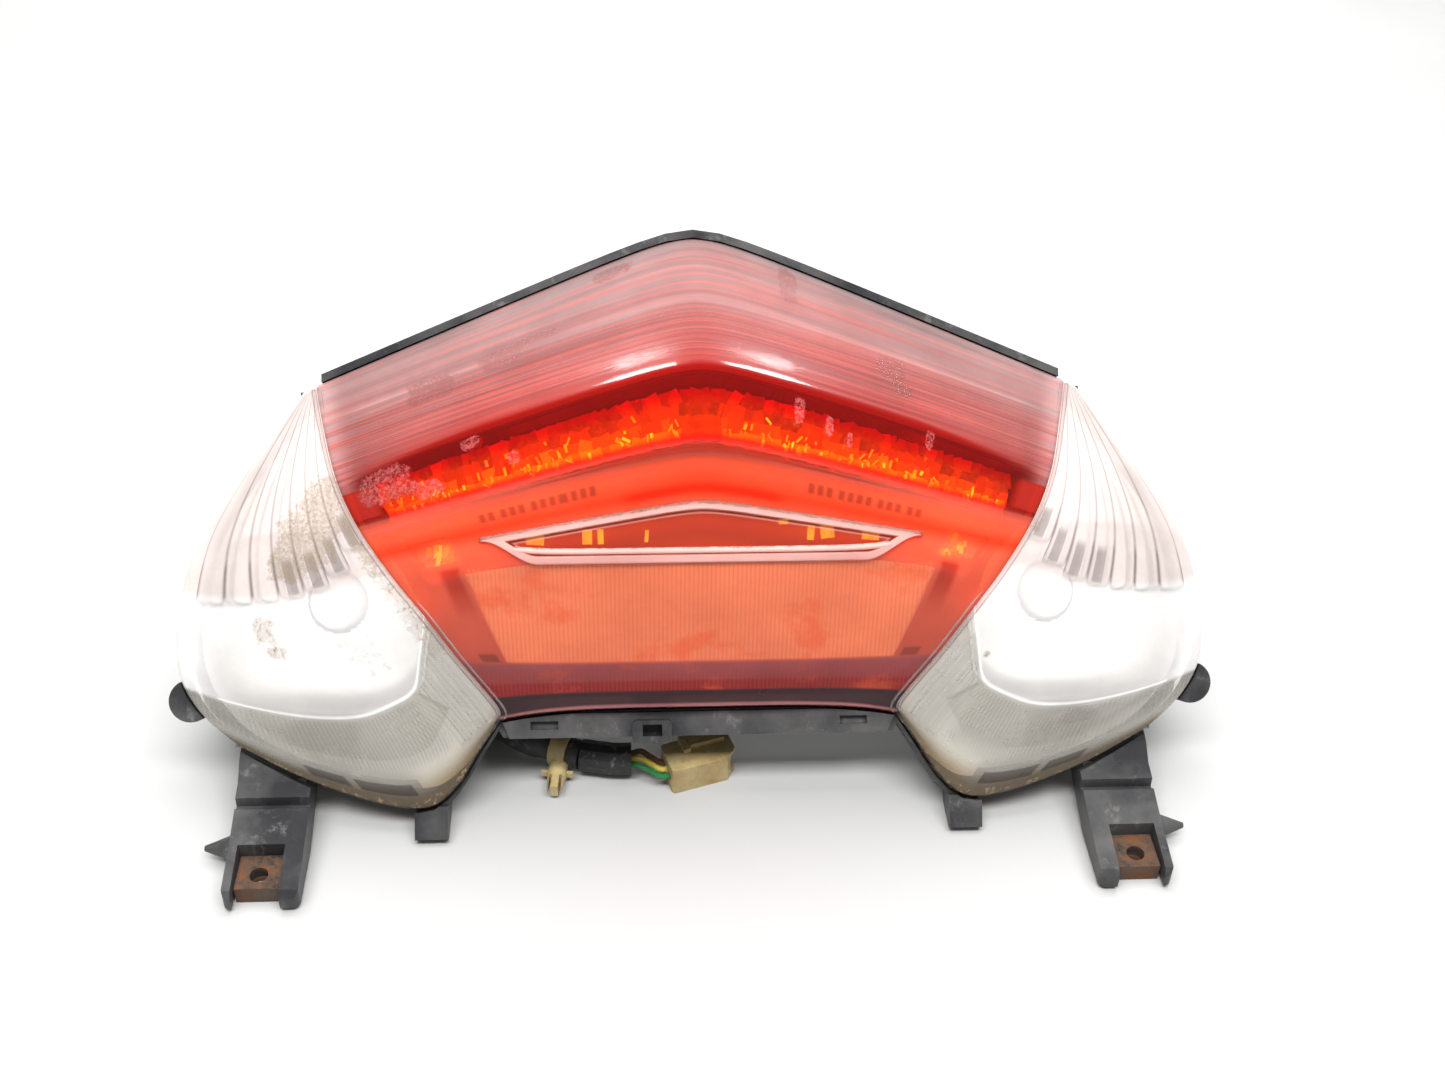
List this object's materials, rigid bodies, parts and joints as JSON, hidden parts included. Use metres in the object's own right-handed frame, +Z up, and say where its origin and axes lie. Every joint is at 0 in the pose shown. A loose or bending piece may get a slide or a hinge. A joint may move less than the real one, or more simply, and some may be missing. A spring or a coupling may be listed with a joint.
{
  "type": "motorcycle tail light",
  "caption": "Rear combination lamp for a scooter: red tail and brake lens between clear turn-signal lenses, on a black housing with bracket legs and a short harness.",
  "frame": {"origin": "centre of the footprint, on the surface that the lamp stands on", "axes": "+X to the lamp's right as seen from behind the vehicle, +Y towards the back of the housing, +Z up"},
  "size_m": [0.3054, 0.1572, 0.139],
  "materials": {
    "black_housing": "scuffed moulded black plastic",
    "rusty_steel": "rusty spring steel",
    "zinc_screw": "zinc plated",
    "red_lens": "red transparent acrylic, faded and crazed on the roof",
    "clear_lens": "clear acrylic, dusty, yellowed at the foot",
    "window_clear": "clear pink acrylic with dirt in the edges",
    "seal_foam": "foam rubber",
    "deck_metal": "stepped metallised plastic",
    "led_metal": "metallised plastic cups",
    "brake_optic": "fluted diffuser",
    "board": "circuit board",
    "led": "LED package",
    "signal_metal": "metallised plastic",
    "amber_glass": "bulb glass, lightly tinted",
    "bulb_brass": "plain",
    "holder_plastic": "moulded",
    "seal_rubber": "matte",
    "cover_plastic": "moulded",
    "sleeve_vinyl": "vinyl tubing and tape",
    "wire": "coloured insulation",
    "cream_nylon": "aged nylon",
    "terminal": "tinned brass"
  },
  "bodies": {
    "lamp": {"housing": "black_housing", "left_bracket_leg": "black_housing", "right_bracket_leg": "black_housing", "left_foot_clip": "rusty_steel", "right_foot_clip": "rusty_steel", "leg_screws": "zinc_screw", "red_lens": "red_lens", "left_signal_lens": "clear_lens", "right_signal_lens": "clear_lens", "window_insert": "window_clear", "lens_seal": "seal_foam", "deck_reflector": "deck_metal", "led_reflector": "led_metal", "brake_optic": "brake_optic", "led_board": "board", "tail_led_row": "led", "brake_led_row": "led", "left_signal_reflector": "signal_metal", "right_signal_reflector": "signal_metal", "rear_cover": "cover_plastic", "cover_screws": "zinc_screw", "breather_caps": "seal_rubber", "harness_grommet": "seal_rubber", "harness_sleeve": "sleeve_vinyl", "harness_end_sleeve": "sleeve_vinyl", "harness_wires": "wire", "cable_clip": "cream_nylon", "connector_shell": "cream_nylon", "connector_terminals": "terminal"},
    "left_holder": {"left_bulb_holder": "holder_plastic", "left_holder_seal": "seal_rubber", "left_bulb_base": "bulb_brass", "left_bulb_glass": "amber_glass"},
    "right_holder": {"right_bulb_holder": "holder_plastic", "right_holder_seal": "seal_rubber", "right_bulb_base": "bulb_brass", "right_bulb_glass": "amber_glass"}
  },
  "joints": [
    {"name": "right_holder_turn", "type": "hinge", "parent": "lamp", "child": "right_holder", "pos_m": [0.106, 0.03585, 0.01768], "axis": [0, -0.788, 0.6157], "range_deg": [-40, 0]},
    {"name": "left_holder_turn", "type": "hinge", "parent": "lamp", "child": "left_holder", "pos_m": [-0.106, 0.03585, 0.01768], "axis": [0, -0.788, 0.6157], "range_deg": [0, 40]}
  ]
}
